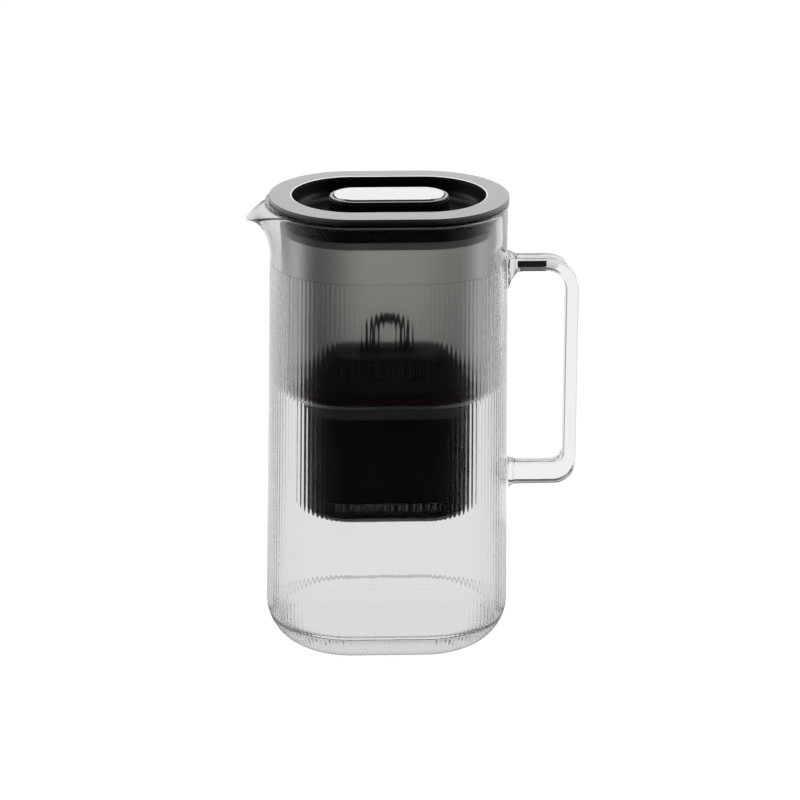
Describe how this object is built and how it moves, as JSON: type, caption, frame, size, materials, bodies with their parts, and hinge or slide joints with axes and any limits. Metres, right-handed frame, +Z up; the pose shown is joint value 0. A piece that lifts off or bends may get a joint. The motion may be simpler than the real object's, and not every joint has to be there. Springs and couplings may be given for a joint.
{
  "type": "water filter pitcher",
  "caption": "Oblong ribbed glass jug with a strap handle and pouring lip, a lift-out tank with a filter cartridge, and a lift-off lid with a filter-timer button.",
  "frame": {"origin": "middle of the flat underside of the glass base", "axes": "+Z up, +X towards the handle, -X towards the pouring lip, +Y across the jug"},
  "size_m": [0.1895, 0.0992, 0.272],
  "materials": {
    "clear_glass": "clear, polished, ribbed outside",
    "smoke_plastic": "translucent smoke grey, glossy",
    "cartridge_plastic": "black, fine moulded grain",
    "burgundy_rubber": "dark burgundy, satin",
    "steel_mesh": "fine woven mesh",
    "granules": "loose carbon and resin granules",
    "black_plastic": "black, satin gloss",
    "satin_plate": "fine satin grey",
    "grey_silicone": "dark grey, matt",
    "steel_screw": "plain steel",
    "bright_metal": "bright satin",
    "spring_steel": "drawn wire and sheet",
    "board_laminate": "green solder mask",
    "switch_plastic": "black moulded",
    "led_lens": "pale resin",
    "cell_steel": "nickel-plated steel"
  },
  "bodies": {
    "jug": {"glass_jug": "clear_glass", "glass_handle": "clear_glass"},
    "hopper": {"hopper_tank": "smoke_plastic"},
    "cartridge": {"cartridge_shell": "cartridge_plastic", "cartridge_seal": "burgundy_rubber", "cartridge_cap": "cartridge_plastic", "outlet_screen": "steel_mesh", "filter_media": "granules", "inlet_screen": "steel_mesh"},
    "lid": {"lid_cover": "black_plastic", "lid_trim_ring": "satin_plate", "lid_pan": "black_plastic", "lid_gasket": "grey_silicone", "lid_screws": "steel_screw", "indicator_bezel": "bright_metal", "button_springs": "spring_steel", "indicator_board": "board_laminate", "board_screws": "steel_screw", "tact_switch": "switch_plastic", "indicator_leds": "led_lens", "coin_cell": "cell_steel", "battery_clip": "spring_steel", "battery_cover": "black_plastic", "battery_seal": "grey_silicone"},
    "button": {"indicator_button": "bright_metal"}
  },
  "joints": [
    {"name": "hopper_lift", "type": "slide", "parent": "jug", "child": "hopper", "axis": [0, 0, 1], "range_m": [0, 0.195]},
    {"name": "cartridge_lift", "type": "slide", "parent": "hopper", "child": "cartridge", "axis": [0, 0, 1], "range_m": [0, 0.19]},
    {"name": "lid_lift", "type": "slide", "parent": "cartridge", "child": "lid", "axis": [0, 0, 1], "range_m": [0, 0.06]},
    {"name": "button_press", "type": "slide", "parent": "lid", "child": "button", "axis": [0, 0, -1], "range_m": [0, 0.0012], "stiffness_N_per_m": 400, "springref_m": -0.002, "deforming": ["button_springs"]}
  ]
}
